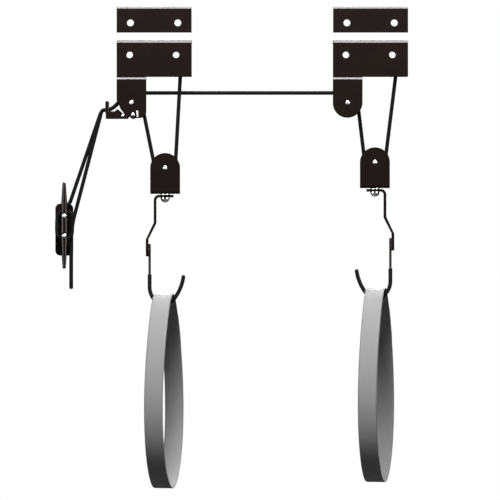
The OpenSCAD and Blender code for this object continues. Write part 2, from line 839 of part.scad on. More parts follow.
// Rope over one of the two sheaves on the left axle
module rope_over(i, from) {
  color(cord) arc_xz(leg_x, block_y[i], axle_z, pitch_r, rope_r, from, leave_angle);
}

module rope_lead(i) {
  y = block_y[i];
  leave = on_upper(0, leave_angle);
  color(cord) rope(concat([[leave[0], y, leave[2]]],
    [for (p = lead_route) [leg_x + p[0], y, axle_z + p[1]]]));
}

// Free ropes, out of the guide: X and Z from the sheaves' axle, Y as it is
left_out_route = [
  [-42.3, -6, -11.73], [-47, -6, -12.2], [-49.2, -6, -14.2], [-50.9, -6, -17.8], [-52.5, -6, -25]
];
right_out_route = [
  [-42.3, 6, -11.73], [-47, 6, -12.2], [-49.4, 6, -13.9], [-51.6, 6, -17.4], [-54.4, 6, -24.6]
];
// Free ropes round the cleat and down to the cut end: X and Z from the cleat's middle
left_cleat_route = [
  [20.2, -6, 29.8], [16.5, -6, 15.8], [14.3, -6, 5.8], [13.1, -5.9, -3.2], [12.7, -5.9, -11.2],
  [11.1, -5.9, -17.2], [7.1, -5.9, -21.6], [1.7, -5.9, -23.6], [-3.9, -5.9, -23.1],
  [-8.8, -5.9, -20], [-11.9, -5.7, -15], [-12.7, -4.6, -8.2], [-12.7, -2.5, 0], [-12.7, -0.4, 7.8],
  [-11.6, 0.6, 15.4], [-8.1, 0.8, 20.6], [-2.7, 0.8, 23.4], [3.3, 0.8, 23.3], [8.5, 0.8, 20.5],
  [11.7, 0.8, 15.6], [12.7, 0.8, 8.8], [12.3, 0.8, -0.2], [11.5, 0.8, -11.2], [10.9, 0.8, -26.2],
  [10.8, 0.8, -42.2], [10.8, 0.8, -62.2], [10.8, 0.8, -84.2], [10.8, 0.8, -106]
];
right_cleat_route = [
  [11.7, 7.2, 46.8], [8.9, 7.4, 39.3], [5.1, 7.5, 33.4], [-0.3, 7.5, 28.4], [-5.7, 7.5, 23.6],
  [-8.9, 7.5, 18.7], [-9.9, 7.5, 12.8], [-9.9, 7.5, -0.2], [-9.9, 7.5, -13.2], [-8.9, 7.5, -19.2],
  [-5.9, 7.5, -23.8], [-0.3, 7.5, -27.4], [5.3, 7.5, -30.6], [9.3, 7.5, -35], [10.8, 7.5, -41.2],
  [10.8, 7.5, -62.2], [10.8, 7.5, -84.2], [10.8, 7.5, -106]
];

// The two parts of a free rope, with the straight run between them
function placed(route, x, z) = [for (p = route) [x + p[0], p[1], z + p[2]]];
function free_route(out_route, cleat_route) =
  let (a = placed(out_route, leg_x, axle_z), b = placed(cleat_route, cleat_x, cleat_z),
    last = a[len(a) - 1])
  concat(a, [for (k = [1 : 3]) last + (b[0] - last) * k / 4], b);

module left_tail() {
  color(cord) rope(free_route(left_out_route, left_cleat_route));
}

module right_tail() {
  color(cord) rope(free_route(right_out_route, right_cleat_route));
}

ceiling_strip(0);  // ceiling_strip_left
ceiling_strip(bracket_gap);  // ceiling_strip_right
front_plate(0, true);  // bracket_front_left
rear_plate(0, true);  // bracket_rear_left
front_plate(bracket_gap, false);  // bracket_front_right
rear_plate(bracket_gap, false);  // bracket_rear_right
post(0, bolt_right_x);  // anchor_post_left
post(bracket_gap, bolt_right_x);  // anchor_post_right
post(0, bolt_left_x);  // spare_post_left
post(bracket_gap, bolt_left_x);  // spare_post_right
upper_axle(0);  // axle_upper_left
upper_axle(bracket_gap);  // axle_upper_right
left_washers();  // axle_washers_left
right_washer();  // axle_washer_right
right_spacer();  // axle_spacer_right
sheave(leg_x, -lane, axle_z);  // sheave_upper_left_front
sheave(leg_x, lane, axle_z);  // sheave_upper_left_rear
sheave(bracket_gap + leg_x, lane, axle_z);  // sheave_upper_right
lock_arm();
guide_liner();
jam_pin();
lock_pivots();
stop_tabs();
yoke(0);  // yoke_left
lower_axle(0);  // axle_lower_left
sheave(block_x[0], block_y[0], block_z[0]);  // sheave_lower_left
swivel_rivet(0);  // swivel_rivet_left
swivel_washer(0);  // swivel_washer_left
hook_bar(0);  // hook_bar_left
hook_rod(0);  // hook_rod_left
hook_sleeve(0);  // hook_sleeve_left
webbing_loop(0);  // webbing_loop_left
yoke(1);  // yoke_right
lower_axle(1);  // axle_lower_right
sheave(block_x[1], block_y[1], block_z[1]);  // sheave_lower_right
swivel_rivet(1);  // swivel_rivet_right
swivel_washer(1);  // swivel_washer_right
hook_bar(1);  // hook_bar_right
hook_rod(1);  // hook_rod_right
hook_sleeve(1);  // hook_sleeve_right
webbing_loop(1);  // webbing_loop_right
cleat();
cleat_screws();
rope_knot(0);  // left_rope_knot
rope_fall(0);  // left_rope_fall
rope_wrap(0);  // left_rope_wrap
rope_rise(0);  // left_rope_rise
rope_over(0, rise_angle(0) - 180);  // left_rope_over
rope_lead(0);  // left_rope_lead
left_tail();  // left_rope_tail
rope_knot(1);  // right_rope_knot
rope_fall(1);  // right_rope_fall
rope_wrap(1);  // right_rope_wrap
rope_rise(1);  // right_rope_rise
right_cross();  // right_rope_cross
rope_over(1, 90);  // right_rope_over
rope_lead(1);  // right_rope_lead
right_tail();  // right_rope_tail
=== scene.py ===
import json
import math
import bpy
import numpy as np
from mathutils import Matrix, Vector


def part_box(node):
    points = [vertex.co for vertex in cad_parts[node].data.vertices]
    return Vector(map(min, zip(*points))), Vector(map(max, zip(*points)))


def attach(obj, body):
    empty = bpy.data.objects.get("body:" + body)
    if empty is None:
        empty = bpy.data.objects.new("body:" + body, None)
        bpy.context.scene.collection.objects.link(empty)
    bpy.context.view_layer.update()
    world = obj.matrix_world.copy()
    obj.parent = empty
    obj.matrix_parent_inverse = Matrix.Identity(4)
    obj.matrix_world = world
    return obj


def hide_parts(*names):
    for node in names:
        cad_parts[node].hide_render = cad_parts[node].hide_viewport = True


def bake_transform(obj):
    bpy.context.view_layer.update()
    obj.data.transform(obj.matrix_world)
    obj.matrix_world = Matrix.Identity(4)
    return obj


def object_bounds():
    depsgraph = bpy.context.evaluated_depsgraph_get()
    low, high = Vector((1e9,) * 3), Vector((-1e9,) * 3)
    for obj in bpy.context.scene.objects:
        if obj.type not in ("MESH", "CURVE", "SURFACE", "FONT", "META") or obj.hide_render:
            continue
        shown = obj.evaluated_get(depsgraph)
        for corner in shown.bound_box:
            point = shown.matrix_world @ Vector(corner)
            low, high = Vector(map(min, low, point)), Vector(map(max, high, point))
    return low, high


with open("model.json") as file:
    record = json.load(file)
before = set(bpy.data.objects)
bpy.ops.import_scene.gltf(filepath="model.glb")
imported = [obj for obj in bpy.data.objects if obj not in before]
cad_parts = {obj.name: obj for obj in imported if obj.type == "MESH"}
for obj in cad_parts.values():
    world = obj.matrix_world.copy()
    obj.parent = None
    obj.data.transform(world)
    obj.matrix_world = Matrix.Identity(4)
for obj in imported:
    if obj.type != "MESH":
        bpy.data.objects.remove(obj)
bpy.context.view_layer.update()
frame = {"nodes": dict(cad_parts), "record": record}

# Sides of the hoist, and the rope lane of each
sides = ("left", "right")
laneY = {"left": -0.006, "right": 0.006}

# Rope, as in the part's source, how finely its runs are cut, and its melted end
rope = {"radius": 0.006350 / 2, "knotRadius": 0.0027, "pitch": 0.0168, "sides": 20, "step": 0.002,
        "curveSteps": 24, "arcStep": 6, "meltLength": 0.0016, "meltDepth": 0.55}


def unit(v):
    v = np.asarray(v, float)
    return v / np.maximum(np.linalg.norm(v, axis=-1, keepdims=True), 1e-12)


def middleOf(node):
    low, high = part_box(node)
    return (np.array(low) + np.array(high)) / 2


# The camera looks straight at the front, with a long lens as a drawing has
camera = {"middle": (0.1599, -0.3507), "span": 0.835, "lens": 360, "sensor": 36,
          "farEnd": 60}


def makeCamera():
    data = bpy.data.cameras.new("camera")
    data.lens, data.sensor_width = camera["lens"], camera["sensor"]
    data.clip_end = camera["farEnd"]
    eye = bpy.data.objects.new("camera", data)
    distance = camera["span"] * camera["lens"] / camera["sensor"]
    eye.location = (camera["middle"][0], -distance, camera["middle"][1])
    eye.rotation_euler = (math.pi / 2, 0, 0)
    bpy.context.scene.collection.objects.link(eye)
    bpy.context.scene.camera = eye


makeCamera()
print("camera made")


# A mesh from whole arrays: points, faces and a UV for each face corner
def meshOf(name, points, faces, cornerUv):
    mesh = bpy.data.meshes.new(name)
    mesh.from_pydata(np.asarray(points).tolist(), [], [list(f) for f in faces])
    layer = mesh.uv_layers.new(name="weave")
    layer.data.foreach_set("uv", np.asarray(cornerUv, np.float32).ravel())
    mesh.polygons.foreach_set("use_smooth", np.ones(len(mesh.polygons), bool))
    mesh.update()
    piece = bpy.data.objects.new(name, mesh)
    bpy.context.scene.collection.objects.link(piece)
    return piece


# Even steps along a smooth curve through the route's points (Catmull-Rom):
# p(t) = (2b + (c - a)t + (2a - 5b + 4c - d)t^2 + (3b - a - 3c + d)t^3) / 2
def smoothRoute(route, step):
    p = np.asarray(route, float)
    ends = np.vstack([2 * p[0] - p[1], p, 2 * p[-1] - p[-2]])
    t = np.linspace(0, 1, rope["curveSteps"], endpoint=False)[:, None]
    runs = []
    for a, b, c, d in zip(ends[:-3], ends[1:-2], ends[2:-1], ends[3:]):
        runs.append((2 * b + (c - a) * t + (2 * a - 5 * b + 4 * c - d) * t ** 2
                     + (3 * b - a - 3 * c + d) * t ** 3) / 2)
    fine = np.vstack(runs + [p[-1:]])
    return evenSteps(fine, step)


def evenSteps(path, step):
    along = distances(path)
    count = max(4, int(round(along[-1] / step)))
    at = np.linspace(0, along[-1], count + 1)
    return np.stack([np.interp(at, along, path[:, k]) for k in range(3)], axis=1)


def distances(path):
    return np.concatenate([[0], np.cumsum(np.linalg.norm(np.diff(path, axis=0), axis=1))])


# Directions along a path and two cross directions carried along it without twist
def framesOn(path, first=(0, 1, 0)):
    path = np.asarray(path, float)
    along = unit(np.gradient(path, axis=0))
    across = np.zeros_like(path)
    across[0] = unit(np.array(first) - np.dot(first, along[0]) * along[0])
    for i in range(1, len(path)):
        carried = across[i - 1] - np.dot(across[i - 1], along[i]) * along[i]
        across[i] = unit(carried)
    return along, across, np.cross(along, across)


# Points of a tube's rings: ring i, side k is p_i + r_i (cos a_k n_i + sin a_k b_i)
def ringPoints(path, radii, count, across, up):
    turn = 2 * np.pi * np.arange(count) / count
    ring = np.cos(turn)[:, None, None] * across + np.sin(turn)[:, None, None] * up
    return (path + radii * ring).transpose(1, 0, 2).reshape(-1, 3)


# Faces between a tube's rings, facing outwards, with the ring and the side of each
def ringFaces(rings, count):
    i, k = np.meshgrid(np.arange(rings - 1), np.arange(count), indexing="ij")
    i, k = i.ravel(), k.ravel()
    nextK = (k + 1) % count
    quads = np.stack([i * count + nextK, (i + 1) * count + nextK, (i + 1) * count + k,
                      i * count + k], axis=1)
    return i, k, quads


def endCaps(rings, count, base=0):
    last = base + (rings - 1) * count
    return [[base + c for c in range(count)], [last + c for c in reversed(range(count))]]


# A round tube with closed ends; a melted end narrows over its last rings
def tube(name, path, radius, count, startAt=0.0, meltedEnd=False):
    path = np.asarray(path, float)
    radii = np.broadcast_to(np.asarray(radius, float), (len(path),)).copy()
    if meltedEnd:
        left = distances(path)[-1] - distances(path)
        melted = np.clip(1 - left / rope["meltLength"], 0, 1) ** 2 * rope["meltDepth"]
        radii *= np.sqrt(np.clip(1 - melted, 0, 1))
    along, across, up = framesOn(path)
    points = ringPoints(path, radii[:, None], count, across, up)
    i, k, quads = ringFaces(len(path), count)
    v = (distances(path) + startAt) / (2 * np.pi * np.median(radii))
    uv = np.stack([np.stack([k + 1, k + 1, k, k], axis=1) / count,
                   np.stack([v[i], v[i + 1], v[i + 1], v[i]], axis=1)], axis=2).reshape(-1, 2)
    uv = np.vstack([uv, np.zeros((2 * count, 2))])
    return meshOf(name, points, quads.tolist() + endCaps(len(path), count), uv)


# Free rope ends: over the guide, down to the cleat, round it and down to the cut end
freeRope = {
    "left": [
        (-0.0800, -0.0060, -0.1167), (-0.0850, -0.0060, -0.1172), (-0.0872, -0.0060, -0.1192),
        (-0.0889, -0.0060, -0.1228), (-0.0905, -0.0060, -0.1300), (-0.1003, -0.0060, -0.1675),
        (-0.1100, -0.0060, -0.2050), (-0.1197, -0.0060, -0.2425), (-0.1295, -0.0060, -0.2800),
        (-0.1332, -0.0060, -0.2940), (-0.1354, -0.0060, -0.3040), (-0.1366, -0.0059, -0.3130),
        (-0.1370, -0.0059, -0.3210), (-0.1386, -0.0059, -0.3270), (-0.1426, -0.0059, -0.3314),
        (-0.1480, -0.0059, -0.3334), (-0.1536, -0.0059, -0.3329), (-0.1585, -0.0059, -0.3298),
        (-0.1616, -0.0057, -0.3248), (-0.1624, -0.0046, -0.3180), (-0.1624, -0.0025, -0.3098),
        (-0.1624, -0.0004, -0.3020), (-0.1613, 0.0006, -0.2944), (-0.1578, 0.0008, -0.2892),
        (-0.1524, 0.0008, -0.2864), (-0.1464, 0.0008, -0.2865), (-0.1412, 0.0008, -0.2893),
        (-0.1380, 0.0008, -0.2942), (-0.1370, 0.0008, -0.3010), (-0.1374, 0.0008, -0.3100),
        (-0.1382, 0.0008, -0.3210), (-0.1388, 0.0008, -0.3360), (-0.1389, 0.0008, -0.3520),
        (-0.1389, 0.0008, -0.3720), (-0.1389, 0.0008, -0.3940), (-0.1389, 0.0008, -0.4158),
    ],
    "right": [
        (-0.0800, 0.0060, -0.1167), (-0.0850, 0.0060, -0.1172), (-0.0874, 0.0060, -0.1189),
        (-0.0896, 0.0060, -0.1224), (-0.0924, 0.0060, -0.1296), (-0.1038, 0.0063, -0.1629),
        (-0.1152, 0.0066, -0.1963), (-0.1266, 0.0069, -0.2296), (-0.1380, 0.0072, -0.2630),
        (-0.1408, 0.0074, -0.2705), (-0.1446, 0.0075, -0.2764), (-0.1500, 0.0075, -0.2814),
        (-0.1554, 0.0075, -0.2862), (-0.1586, 0.0075, -0.2911), (-0.1596, 0.0075, -0.2970),
        (-0.1596, 0.0075, -0.3100), (-0.1596, 0.0075, -0.3230), (-0.1586, 0.0075, -0.3290),
        (-0.1556, 0.0075, -0.3336), (-0.1500, 0.0075, -0.3372), (-0.1444, 0.0075, -0.3404),
        (-0.1404, 0.0075, -0.3448), (-0.1389, 0.0075, -0.3510), (-0.1389, 0.0075, -0.3720),
        (-0.1389, 0.0075, -0.3940), (-0.1389, 0.0075, -0.4158),
    ],
}


def makeTail(side):
    path = smoothRoute(freeRope[side], rope["step"])
    name = f"{side}_rope_tail_braid"
    tail = tube(name, path, rope["radius"], rope["sides"], meltedEnd=True)
    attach(tail, "root")
    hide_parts(f"{side}_rope_tail")
    return tail


# Every rope run joins the next, so its weave starts where the one before it ends
ropePieces = [makeTail(side) for side in sides]
print("free rope ends made")


# Places that the ropes run between, taken from the part's own pieces
upper = {"left": middleOf("sheave_upper_left_front"), "right": middleOf("sheave_upper_right")}
lower = {side: middleOf(f"sheave_lower_{side}") for side in sides}
post = {side: middleOf(f"anchor_post_{side}") for side in sides}
knot = {
    "exit": {"left": (0.0070, -0.035), "right": (0.0057, -0.035)},
    "ring": 0.0073 + 0.0003 + rope["radius"],
    "coilTop": -0.0172, "pitch": 0.0059, "turns": 2.75,
    "coilRing": rope["radius"] + rope["knotRadius"] + 0.00043,
    "standing": (-0.023, -0.011), "overStep": 15, "perTurn": 20, "leaveAngle": 140,
    "back": [(-0.0106, 0, -0.0045), (-0.0086, 0, -0.0090), (-0.0048, 0, -0.0130)],
    "cut": [(-0.005, 0, -0.0004), (-0.010, 0, -0.0008)],
}


def knotEnd(side):
    x, z = knot["exit"][side]
    return np.array([post[side][0] + x, 0.0, post[side][2] + z])


# Angles, in degrees, at which the two straight runs touch the lower sheave
def touchAngles(side):
    dx, dz = upper[side][0] - lower[side][0], upper[side][2] - lower[side][2]
    rise = math.degrees(math.atan2(dz, dx) + math.acos(2 * rope["pitch"] / math.hypot(dx, dz)))
    end = knotEnd(side)
    fx, fz = end[0] - lower[side][0], end[2] - lower[side][2]
    fall = math.degrees(math.atan2(fz, fx) - math.acos(rope["pitch"] / math.hypot(fx, fz)))
    return rise, fall


def onWheel(middle, y, angles):
    a = np.radians(np.atleast_1d(np.asarray(angles, float)))
    ring = np.stack([np.cos(a), np.zeros_like(a), np.sin(a)], axis=1)
    return np.array([middle[0], y, middle[2]]) + rope["pitch"] * ring


def straight(a, b):
    return evenSteps(np.array([a, b], float), rope["step"])


def arc(middle, y, fromAngle, toAngle):
    count = max(6, int(abs(toAngle - fromAngle) / rope["arcStep"]))
    return onWheel(middle, y, np.linspace(fromAngle, toAngle, count + 1))


# Knot round the post: up the standing part, over the post, then 2.75 turns round the
# standing part: c(s) + ring (cos a, sin a, 0) with a = 180 + 360 s, s from 0 to the turns
def knotPath(side):
    outX, drop = knot["exit"][side]
    ring = knot["ring"]

    def standing(z):
        z = np.asarray(z, float)
        return np.stack([ring + (outX - ring) * z / drop, 0 * z, z], axis=-1)

    over = np.radians(np.arange(0, 181, knot["overStep"]))
    loop = np.stack([ring * np.cos(over), 0 * over, ring * np.sin(over)], axis=1)
    s = np.linspace(0, knot["turns"], int(knot["turns"] * knot["perTurn"]) + 1)
    turn = np.pi + 2 * np.pi * s
    coil = standing(knot["coilTop"] - knot["pitch"] * s) + knot["coilRing"] * np.stack(
        [np.cos(turn), np.sin(turn), 0 * turn], axis=1)
    start = standing([drop, *knot["standing"]])
    path = np.vstack([start, loop, knot["back"], coil, coil[-1] + knot["cut"]])
    full = len(start) + len(loop)
    radii = np.where(np.arange(len(path)) < full, rope["radius"], rope["knotRadius"])
    return path + [post[side][0], 0, post[side][2]], radii


def ropePiece(name, node, path, body, radius=None, startAt=0.0):
    piece = tube(name, path, rope["radius"] if radius is None else radius, rope["sides"], startAt)
    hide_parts(node)
    if body:
        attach(piece, body)
    ropePieces.append(piece)
    return piece


def makeRuns(side):
    rise, fall = touchAngles(side)
    y, block = laneY[side], f"block_{side}"
    path, radii = knotPath(side)
    ropePiece(f"{side}_rope_knot_braid", f"{side}_rope_knot", path, "root", radii)
    down = straight(knotEnd(side), onWheel(lower[side], y, fall)[0])
    run = ropePiece(f"{side}_rope_fall_braid", f"{side}_rope_fall", down, None)
    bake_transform(run)
    wrap = arc(lower[side], y, 360 + fall, rise)
    soFar = distances(down)[-1]
    ropePiece(f"{side}_rope_wrap_braid", f"{side}_rope_wrap", wrap, block, startAt=soFar)
    soFar += distances(wrap)[-1]
    up = straight(onWheel(lower[side], y, rise)[0], onWheel(upper[side], y, rise - 180)[0])
    run = ropePiece(f"{side}_rope_rise_braid", f"{side}_rope_rise", up, None, startAt=soFar)
    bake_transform(run)
    return rise - 180, soFar + distances(up)[-1]


leadRoute = [
    (-0.0550, -0.0991), (-0.0600, -0.1048), (-0.0650, -0.1099), (-0.0700, -0.1138),
    (-0.0750, -0.1160), (-0.0800, -0.1167),
]


# From the upper sheave on the left down to the guide slot
def makeLead(side, startAt):
    y = laneY[side]
    leave = onWheel(upper["left"], y, knot["leaveAngle"])[0]
    path = smoothRoute([leave] + [(x, y, z) for x, z in leadRoute], rope["step"])
    ropePiece(f"{side}_rope_lead_braid", f"{side}_rope_lead", path, "root", startAt=startAt)


def makeRopes():
    start, soFar = makeRuns("left")
    over = arc(upper["left"], laneY["left"], start, knot["leaveAngle"])
    ropePiece("left_rope_over_braid", "left_rope_over", over, "root", startAt=soFar)
    makeLead("left", soFar + distances(over)[-1])
    start, soFar = makeRuns("right")
    y = laneY["right"]
    first = arc(upper["right"], y, start, 90)
    across = straight(first[-1], onWheel(upper["left"], y, 90)[0])
    path = np.vstack([first, across[1:]])
    ropePiece("right_rope_cross_braid", "right_rope_cross", path, "root", startAt=soFar)
    soFar += distances(path)[-1]
    over = arc(upper["left"], y, 90, knot["leaveAngle"])
    ropePiece("right_rope_over_braid", "right_rope_over", over, "root", startAt=soFar)
    makeLead("right", soFar + distances(over)[-1])


makeRopes()
print("ropes made")

# Webbing loop: a woven band sewn into a ring, hung over the hook
band = {
    "width": 0.032, "thick": 0.0016, "height": 0.325, "half": 0.066, "belly": 1.12,
    "neck": 0.43, "turn": 14, "steps": 420, "across": 16, "dish": 0.0024, "dishReach": 0.35,
    "lapFrom": 38, "lapTo": 62, "lapSteps": 60, "edgeRound": 0.0006, "edgeThin": 0.35,
}


# Middle line at angle a from the top, w across and h down:
# w = half belly sin a (1 - neck ((1 + cos a) / 2)^2), h = -(height - thick) / 2 (1 - cos a)
def bandLine(a):
    w = band["half"] * band["belly"] * np.sin(a) * (
        1 - band["neck"] * ((1 + np.cos(a)) / 2) ** 2)
    h = -(band["height"] - band["thick"]) / 2 * (1 - np.cos(a))
    return np.stack([w, h], axis=-1)


def bandPlace(side):
    low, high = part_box(f"webbing_loop_{side}")
    middle = (np.array(low) + np.array(high)) / 2
    return np.array([middle[0], middle[1], high[2] - band["thick"] / 2])


# Point s across the band and n out from its middle line; near the top the middle of the
# band sinks between its edges, dish (1 - (2 s / width)^2) exp(-(a / reach)^2) deep
def bandPoints(side, a, s, n):
    d = unit(bandLine(a + 1e-4) - bandLine(a - 1e-4))
    out = np.stack([-d[..., 1], d[..., 0]], axis=-1)
    flat = bandLine(a) + out * n[..., None]
    fromTop = np.abs((a + np.pi) % (2 * np.pi) - np.pi)
    sink = band["dish"] * (1 - (2 * s / band["width"]) ** 2)
    sink = sink * np.exp(-(fromTop / band["dishReach"]) ** 2)
    turn = math.radians(band["turn"])
    wide = np.array([math.cos(turn), -math.sin(turn), 0])
    deep = np.array([math.sin(turn), math.cos(turn), 0])
    place = s[..., None] * wide + flat[..., :1] * deep
    place = place + (flat[..., 1:] - sink[..., None]) * np.array([0, 0, 1])
    return place + bandPlace(side)


# Outline of the band's own section: across, and half a thickness either way at soft edges
def bandSection(width, thick):
    s = np.linspace(-1, 1, band["across"] + 1) * width / 2
    edge = np.clip((width / 2 - np.abs(s)) / band["edgeRound"], 0, 1)
    thin = band["edgeThin"]
    n = thick / 2 * (thin + (1 - thin) * np.sqrt(1 - (1 - edge) ** 2))
    return np.concatenate([s, s[::-1]]), np.concatenate([n, -n[::-1]])


# A swept band between two angles; closed when it goes all the way round
def sweepBand(name, side, fromAngle, toAngle, steps, lift=0.0, closed=False):
    a = np.linspace(fromAngle, toAngle, steps + 1)[: steps if closed else steps + 1]
    s, n = bandSection(band["width"], band["thick"])
    grid = [np.broadcast_to(x, (len(a), len(s))) for x in (a[:, None], s, n + lift)]
    points = bandPoints(side, *grid).reshape(-1, 3)
    rows, cols = len(a), len(s)
    i, k = np.meshgrid(np.arange(rows if closed else rows - 1), np.arange(cols), indexing="ij")
    i, k = i.ravel(), k.ravel()
    nextI, nextK = (i + 1) % rows, (k + 1) % cols
    quads = np.stack([i * cols + k, nextI * cols + k, nextI * cols + nextK, i * cols + nextK], 1)
    fine = bandLine(np.linspace(fromAngle, toAngle, steps + 1))
    v = distances(fine)
    uv = np.stack([np.stack([s[k], s[k], s[nextK], s[nextK]], 1),
                   np.stack([v[i], v[i + 1], v[i + 1], v[i]], 1)], axis=2).reshape(-1, 2)
    faces = quads.tolist()
    if not closed:
        faces += [list(range(cols))[::-1], [(rows - 1) * cols + c for c in range(cols)]]
        uv = np.vstack([uv, np.zeros((2 * cols, 2))])
    return meshOf(name, points, faces, uv), v[-1]


webPieces, threadPieces = [], []
stitch = {"length": 0.0026, "gap": 0.0014, "radius": 0.00035, "inset": 0.004, "sides": 6,
          "rings": 7, "sink": 1.6, "lapMargin": 1.5, "rowSteps": 60}


# Stitch rows over the lap: a rectangle with its two diagonals, as a sewn box; the lap's
# middle lies one thickness out, so its outer face lies one and a half out
def stitchRows(side):
    lift = band["thick"] * 1.5
    half = band["width"] / 2 - stitch["inset"]
    a0 = math.radians(band["lapFrom"] + stitch["lapMargin"])
    a1 = math.radians(band["lapTo"] - stitch["lapMargin"])
    corners = [(a0, -half), (a1, -half), (a1, half), (a0, half), (a0, -half), (a1, half),
               (a0, half), (a1, -half)]
    runs = []
    for (aFrom, sFrom), (aTo, sTo) in zip(corners[:-1], corners[1:]):
        t = np.linspace(0, 1, stitch["rowSteps"])
        a, s = aFrom + (aTo - aFrom) * t, sFrom + (sTo - sFrom) * t
        runs.append(bandPoints(side, a, s, np.full_like(a, lift)))
    return runs


# One stitch is a short thread that dives into the band at both ends: depth = r (2 t - 1)^4
def stitchPaths(run):
    along = distances(run)
    starts = np.arange(0, along[-1] - stitch["length"], stitch["length"] + stitch["gap"])
    for start in starts:
        at = np.linspace(start, start + stitch["length"], stitch["rings"])
        yield np.stack([np.interp(at, along, run[:, k]) for k in range(3)], axis=1)


def makeStitches(side):
    points, faces, count, rings = [], [], stitch["sides"], stitch["rings"]
    middle = bandPlace(side)
    quads = ringFaces(rings, count)[2]
    for run in stitchRows(side):
        for path in stitchPaths(run):
            along, across, up = framesOn(path, first=(0, 0, 1))
            t = np.linspace(-1, 1, rings)
            inward = unit(np.array([middle[0], middle[1], path[0][2]]) - path[0])
            sunk = path + inward * (stitch["radius"] * stitch["sink"] * t[:, None] ** 4)
            base = len(points) * rings * count
            points.append(ringPoints(sunk, stitch["radius"], count, across, up))
            faces += (base + quads).tolist() + endCaps(rings, count, base)
    uv = np.zeros((sum(len(f) for f in faces), 2))
    return meshOf(f"web_stitches_{side}", np.vstack(points), faces, uv)


def makeBand(side):
    name = f"webbing_band_{side}"
    loop, length = sweepBand(name, side, 0, 2 * np.pi, band["steps"], closed=True)
    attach(loop, f"loop_{side}")
    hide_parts(f"webbing_loop_{side}")
    lap, _ = sweepBand(f"webbing_lap_{side}", side, math.radians(band["lapFrom"]),
                       math.radians(band["lapTo"]), band["lapSteps"], lift=band["thick"])
    threads = makeStitches(side)
    for piece in (lap, threads):
        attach(piece, f"loop_{side}")
    webPieces.extend([loop, lap])
    threadPieces.append(threads)


for side in sides:
    makeBand(side)
print("webbing loops made")


# Weld beads where each J rod meets its flat bar, rippled as r (1 + 0.14 sin(2 pi z / 1.3 mm))
weld = {"radius": 0.00095, "ripple": 0.14, "every": 0.0013, "side": 0.0019, "out": 0.0007,
        "inset": 0.0012, "sides": 12, "step": 0.0002, "endShare": 0.05}
weldPieces = []


def makeWelds(side):
    rodLow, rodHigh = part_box(f"hook_rod_{side}")
    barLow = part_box(f"hook_bar_{side}")[0]
    toRod = 1 if side == "left" else -1
    contact = rodLow[0] if side == "left" else rodHigh[0]
    z = np.arange(barLow[2] + weld["inset"], rodHigh[2] - weld["inset"], weld["step"])
    ends = np.clip(np.minimum(z - z[0], z[-1] - z) / weld["radius"], weld["endShare"], 1)
    ripple = 1 + weld["ripple"] * np.sin(2 * np.pi * z / weld["every"])
    radii = weld["radius"] * np.sqrt(1 - (1 - ends) ** 2) * ripple
    for name, way in (("front", -1), ("rear", 1)):
        y = laneY[side] + way * weld["side"]
        path = np.stack([0 * z + contact + toRod * weld["out"], 0 * z + y, z], axis=1)
        bead = tube(f"hook_weld_{name}_{side}", path, radii, weld["sides"])
        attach(bead, f"hook_{side}")
        weldPieces.append(bead)


for side in sides:
    makeWelds(side)
print("welds made")


# Materials from nodes: values go straight into sockets, links are made by name
class Look:
    def __init__(self, name):
        self.material = bpy.data.materials.new(name)
        self.material.use_nodes = True
        self.tree = self.material.node_tree
        self.tree.nodes.clear()
        self.out = self.tree.nodes.new("ShaderNodeOutputMaterial")
        self.shader = self.tree.nodes.new("ShaderNodeBsdfPrincipled")
        self.link(self.shader, "BSDF", self.out, "Surface")

    def link(self, a, output, b, socket):
        self.tree.links.new(a.outputs[output], b.inputs[socket])

    def node(self, kind, **settings):
        made = self.tree.nodes.new("ShaderNode" + kind)
        for key, value in settings.items():
            setattr(made, key, value)
        return made

    def put(self, target, socket, value):
        if isinstance(value, tuple) and hasattr(value[0], "outputs"):
            self.tree.links.new(value[0].outputs[value[1]], target.inputs[socket])
        else:
            target.inputs[socket].default_value = value

    def math(self, operation, a, b=0.0):
        made = self.node("Math", operation=operation)
        self.put(made, 0, a)
        self.put(made, 1, b)
        return (made, 0)

    def where(self, kind="Object"):
        return (self.node("TexCoord"), kind)

    def noise(self, scale, detail=3.0, roughness=0.55, stretch=(1, 1, 1)):
        mapping = self.node("Mapping")
        self.put(mapping, "Vector", self.where())
        self.put(mapping, "Scale", stretch)
        made = self.node("TexNoise")
        self.put(made, "Vector", (mapping, 0))
        self.put(made, "Scale", scale)
        self.put(made, "Detail", detail)
        self.put(made, "Roughness", roughness)
        return (made, "Fac")

    def ramp(self, value, low, high):
        made = self.node("MapRange")
        self.put(made, "Value", value)
        self.put(made, "From Min", low[0])
        self.put(made, "From Max", high[0])
        self.put(made, "To Min", low[1])
        self.put(made, "To Max", high[1])
        return (made, 0)

    def mix(self, amount, a, b):
        made = self.node("Mix", data_type="RGBA")
        self.put(made, 0, amount)
        self.put(made, 6, a)
        self.put(made, 7, b)
        return (made, 2)

    def bump(self, height, strength, distance):
        made = self.node("Bump")
        self.put(made, "Height", height)
        self.put(made, "Strength", strength)
        self.put(made, "Distance", distance)
        return (made, 0)

    # How close a point is to a sharp edge, from 0 on a flat face to 1 at the edge
    def edge(self, radius):
        rounded = self.node("Bevel", samples=4)
        self.put(rounded, "Radius", radius)
        plain = self.node("NewGeometry")
        dot = self.node("VectorMath", operation="DOT_PRODUCT")
        self.put(dot, 0, (rounded, 0))
        self.put(dot, 1, (plain, "Normal"))
        return self.ramp((dot, "Value"), (0.995, 0.0), (0.85, 1.0))

    def surface(self, **values):
        for key, value in values.items():
            self.put(self.shader, key.replace("_", " "), value)
        return self.material


